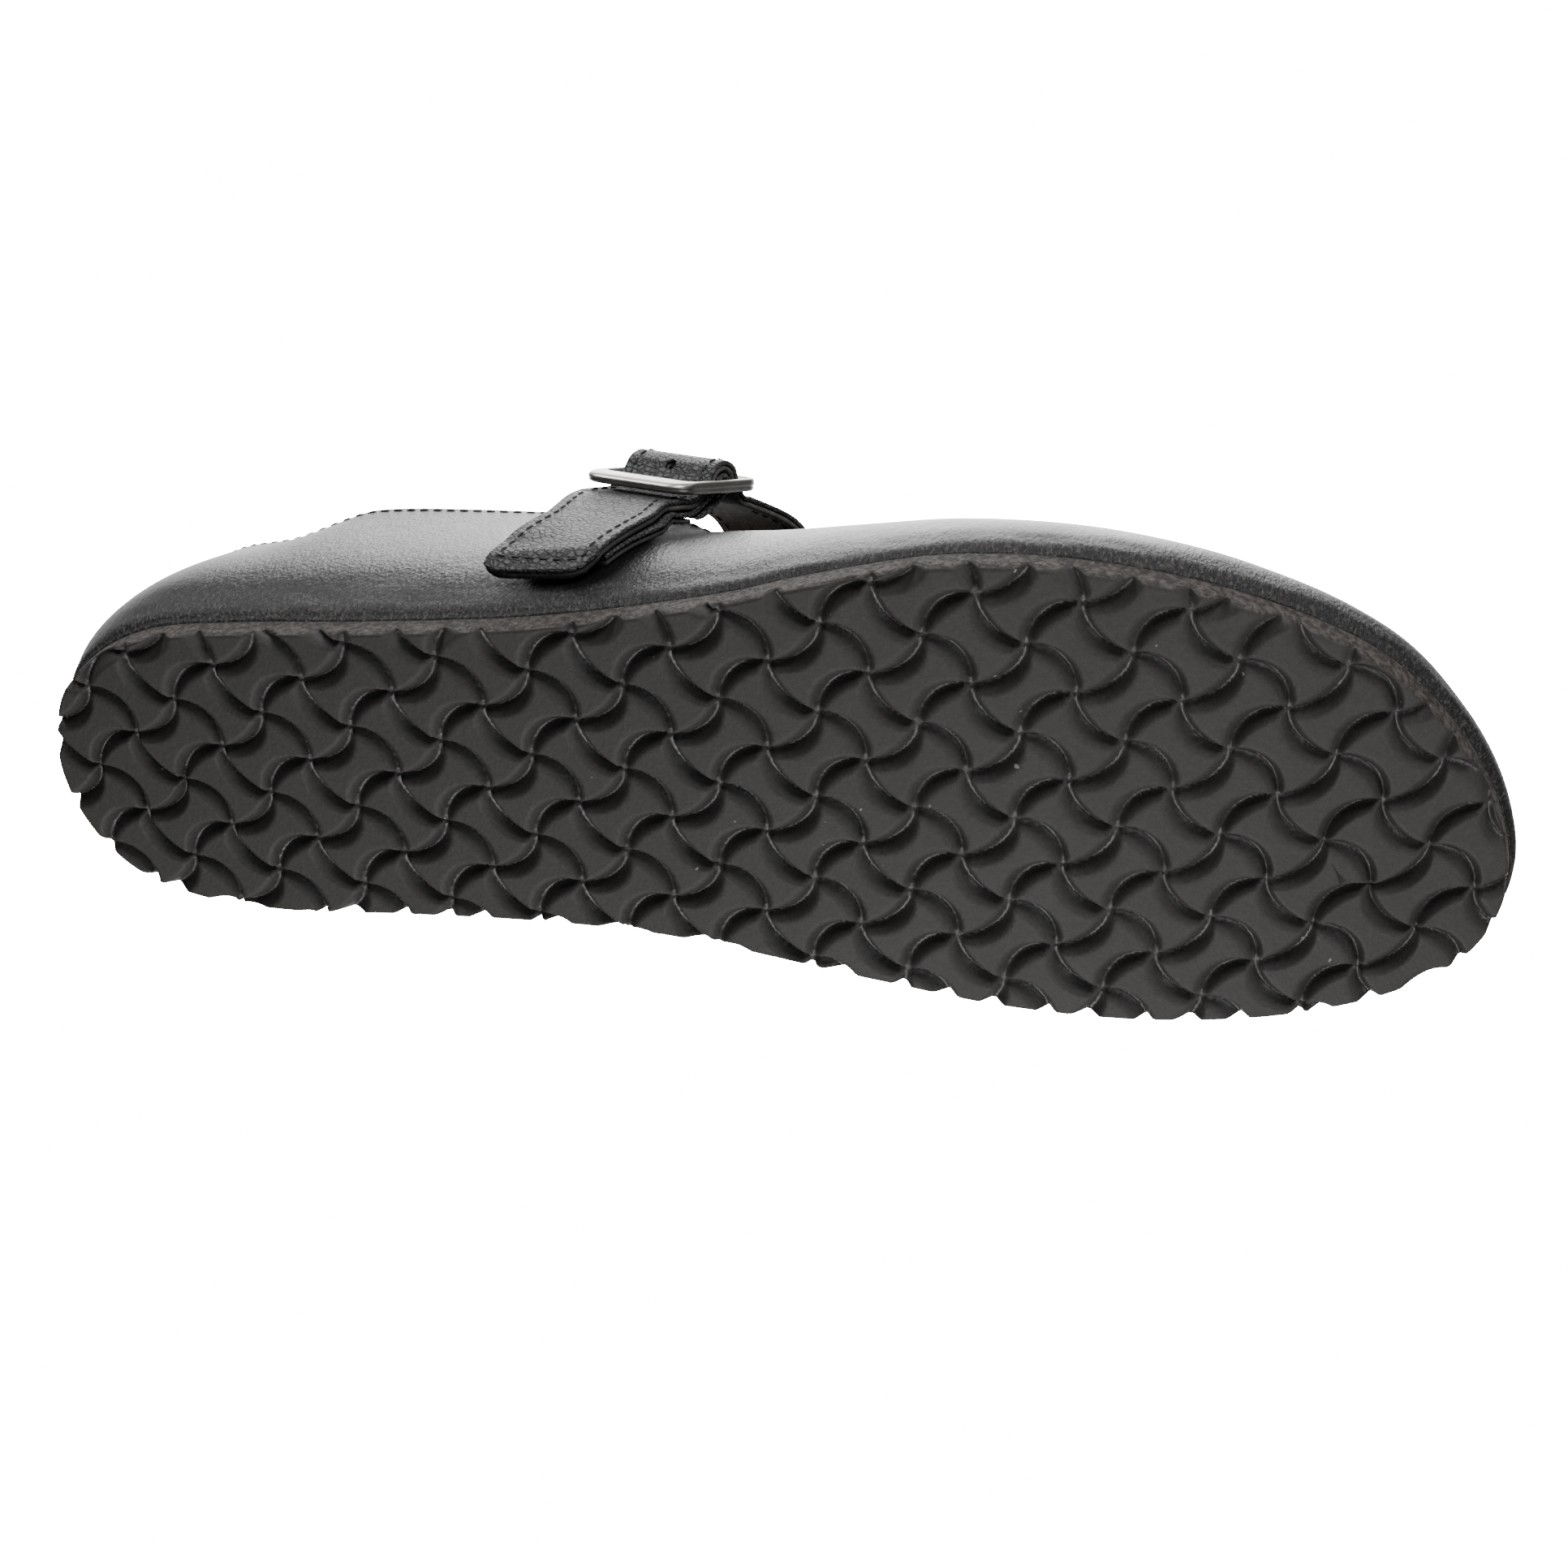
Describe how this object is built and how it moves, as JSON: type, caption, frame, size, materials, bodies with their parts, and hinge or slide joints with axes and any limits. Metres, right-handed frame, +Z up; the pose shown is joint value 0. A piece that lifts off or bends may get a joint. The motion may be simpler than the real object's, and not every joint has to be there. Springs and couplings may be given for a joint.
{
  "type": "strap shoe",
  "caption": "Closed leather slip-on shoe for the right foot with one buckled instep strap, cork footbed and wave-tread foam outsole.",
  "frame": {"origin": "middle of the shoe's bounding box in plan, on the ground under the sole", "axes": "+X towards the toe, +Y towards the inner (medial) side, +Z up"},
  "size_m": [0.2624, 0.0942, 0.0849],
  "materials": {
    "outsole_foam": "matte moulded EVA foam",
    "leather_black": "fine grained, soft sheen",
    "strap_black": "creased grain, satin",
    "suede_grey": "napped suede",
    "footbed_suede": "napped suede",
    "cork": "pressed cork granules",
    "jute": "coarse woven jute",
    "lining": "brushed lining",
    "stiffener": "fibre board",
    "buckle_steel": "satin"
  },
  "bodies": {
    "shoe": {"outsole": "outsole_foam", "lower_jute": "jute", "cork_footbed": "cork", "upper_jute": "jute", "footbed_suede": "footbed_suede", "upper_leather": "leather_black", "upper_lining": "lining", "toe_puff": "stiffener", "heel_counter": "stiffener", "top_edge_tape": "lining", "heel_grip": "lining", "strap_leather": "strap_black", "strap_lining": "suede_grey", "buckle_strap_leather": "strap_black", "buckle_strap_lining": "suede_grey"},
    "strap_tail": {"strap_tail_leather": "strap_black", "strap_tail_lining": "suede_grey"},
    "buckle": {"buckle_frame": "buckle_steel", "buckle_centre_bar": "buckle_steel"},
    "prong": {"buckle_prong": "buckle_steel"}
  },
  "joints": [
    {"name": "strap_tail_lift", "type": "hinge", "parent": "shoe", "child": "strap_tail", "pos_m": [-0.03271, -0.02784, 0.04456], "axis": [-0.9629, 0.1297, 0.2365], "range_deg": [0, 45]},
    {"name": "buckle_rock", "type": "hinge", "parent": "shoe", "child": "buckle", "pos_m": [-0.02667, -0.02391, 0.06073], "axis": [0.939, -0.1498, -0.3097], "range_deg": [-2.5, 2.5]},
    {"name": "prong_lift", "type": "hinge", "parent": "buckle", "child": "prong", "pos_m": [-0.02667, -0.02391, 0.06073], "axis": [0.939, -0.1498, -0.3097], "range_deg": [0, 4]}
  ]
}
